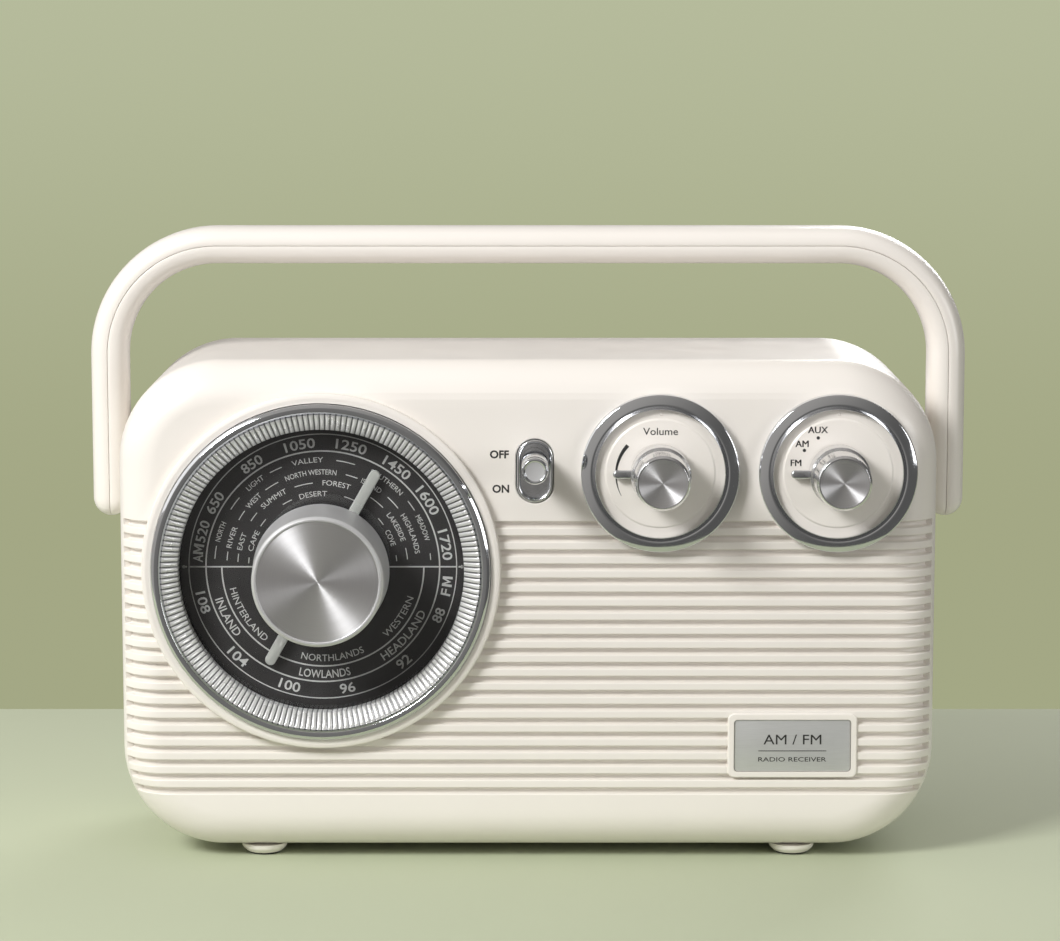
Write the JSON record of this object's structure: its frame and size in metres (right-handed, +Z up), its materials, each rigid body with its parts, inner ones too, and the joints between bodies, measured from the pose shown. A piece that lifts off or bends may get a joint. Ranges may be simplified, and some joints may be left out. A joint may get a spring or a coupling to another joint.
{
  "type": "tabletop radio",
  "caption": "Portable tabletop radio with a grooved moulded cabinet, round tuning dial, two small control dials, slide power switch, rear antenna and swinging carry handle.",
  "frame": {"origin": "middle of the overall footprint, at the height of the foot pads", "axes": "+X to the right of the front, +Y to the back, +Z up"},
  "size_m": [0.2634, 0.115, 0.185],
  "materials": {
    "cream_plastic": "warm cream moulded plastic, satin to semi-gloss",
    "foot_rubber": "dark grey rubber",
    "chrome": "bright chrome plating",
    "spun_aluminium": "satin aluminium with turned or brushed marks",
    "pointer_white": "frosted pale grey plastic",
    "dial_window": "clear acrylic",
    "dial_black": "black dial with pale grey printing",
    "black_plastic": "fine-textured black moulding",
    "steel": "zinc-plated steel",
    "cone_paper": "black felted paper cone",
    "ferrite_grey": "dull dark grey ferrite",
    "circuit_board": "green solder resist",
    "copper_wire": "enamelled copper wire"
  },
  "bodies": {
    "cabinet": {"front_cabinet": "cream_plastic", "rear_cabinet": "cream_plastic", "dial_surround": "cream_plastic", "volume_plate": "cream_plastic", "source_plate": "cream_plastic", "foot_front_left": "cream_plastic", "foot_front_right": "cream_plastic", "foot_rear_left": "cream_plastic", "foot_rear_right": "cream_plastic", "foot_pad_front_left": "foot_rubber", "foot_pad_front_right": "foot_rubber", "foot_pad_rear_left": "foot_rubber", "foot_pad_rear_right": "foot_rubber", "dial_bezel": "chrome", "volume_bezel": "chrome", "source_bezel": "chrome", "power_bezel": "chrome", "dial_knurled_ring": "spun_aluminium", "name_plate": "spun_aluminium", "dial_window": "dial_window", "dial_plate": "dial_black", "dial_housing": "black_plastic", "battery_box": "black_plastic", "ferrite_bracket": "black_plastic", "aux_socket": "black_plastic", "tuning_capacitor": "steel", "volume_potentiometer": "steel", "source_rotary_switch": "steel", "power_switch": "steel", "speaker_basket": "steel", "battery_contact_plate": "steel", "usb_power_socket": "steel", "case_screw_1": "steel", "case_screw_2": "steel", "case_screw_3": "steel", "case_screw_4": "steel", "speaker_cone": "cone_paper", "speaker_magnet": "ferrite_grey", "ferrite_rod": "ferrite_grey", "main_board": "circuit_board", "ferrite_coil": "copper_wire"},
    "handle": {"handle_outer_shell": "cream_plastic", "handle_inner_shell": "cream_plastic", "handle_pivot_left": "steel", "handle_pivot_right": "steel"},
    "tuning_control": {"tuning_knob": "spun_aluminium", "tuning_shaft": "steel", "tuning_pointer": "pointer_white"},
    "volume_control": {"volume_knob": "spun_aluminium", "volume_pointer": "chrome", "volume_shaft": "steel"},
    "source_control": {"source_knob": "spun_aluminium", "source_pointer": "chrome", "source_shaft": "steel"},
    "power_button": {"power_slider": "chrome"},
    "battery_lid": {"battery_door": "cream_plastic"},
    "antenna_swivel_base": {"antenna_base": "black_plastic"},
    "antenna_lower": {"antenna_section_lower": "chrome"},
    "antenna_middle": {"antenna_section_middle": "chrome"},
    "antenna_tip": {"antenna_section_tip": "chrome"}
  },
  "joints": [
    {"name": "handle_swing", "type": "hinge", "parent": "cabinet", "child": "handle", "pos_m": [0, 0.0095, 0.1065], "axis": [-1, 0, 0], "range_deg": [-60, 100]},
    {"name": "tuning_turn", "type": "hinge", "parent": "cabinet", "child": "tuning_control", "pos_m": [-0.0603, -0.0345, 0.0872], "axis": [0, 1, 0], "range_deg": [-109.5, 50.5]},
    {"name": "volume_turn", "type": "hinge", "parent": "cabinet", "child": "volume_control", "pos_m": [0.0384, -0.0345, 0.1162], "axis": [0, 1, 0], "range_deg": [-45, 225]},
    {"name": "source_turn", "type": "hinge", "parent": "cabinet", "child": "source_control", "pos_m": [0.09, -0.0345, 0.1162], "axis": [0, 1, 0], "range_deg": [0, 60]},
    {"name": "power_slide", "type": "slide", "parent": "cabinet", "child": "power_button", "axis": [0, 0, -1], "range_m": [0, 0.0056]},
    {"name": "battery_door_hinge", "type": "hinge", "parent": "cabinet", "child": "battery_lid", "pos_m": [0, 0.0482, 0.0195], "axis": [-1, 0, 0], "range_deg": [0, 85]},
    {"name": "antenna_swivel", "type": "hinge", "parent": "cabinet", "child": "antenna_swivel_base", "pos_m": [-0.098, 0.0549, 0.118], "axis": [0, -1, 0], "range_deg": [0, 180]},
    {"name": "antenna_tilt", "type": "hinge", "parent": "antenna_swivel_base", "child": "antenna_lower", "pos_m": [-0.098, 0.0549, 0.118], "axis": [0, 0, 1], "range_deg": [0, 90]},
    {"name": "antenna_extend_middle", "type": "slide", "parent": "antenna_lower", "child": "antenna_middle", "axis": [1, 0, 0], "range_m": [0, 0.155]},
    {"name": "antenna_extend_tip", "type": "slide", "parent": "antenna_middle", "child": "antenna_tip", "axis": [1, 0, 0], "range_m": [0, 0.15]}
  ]
}
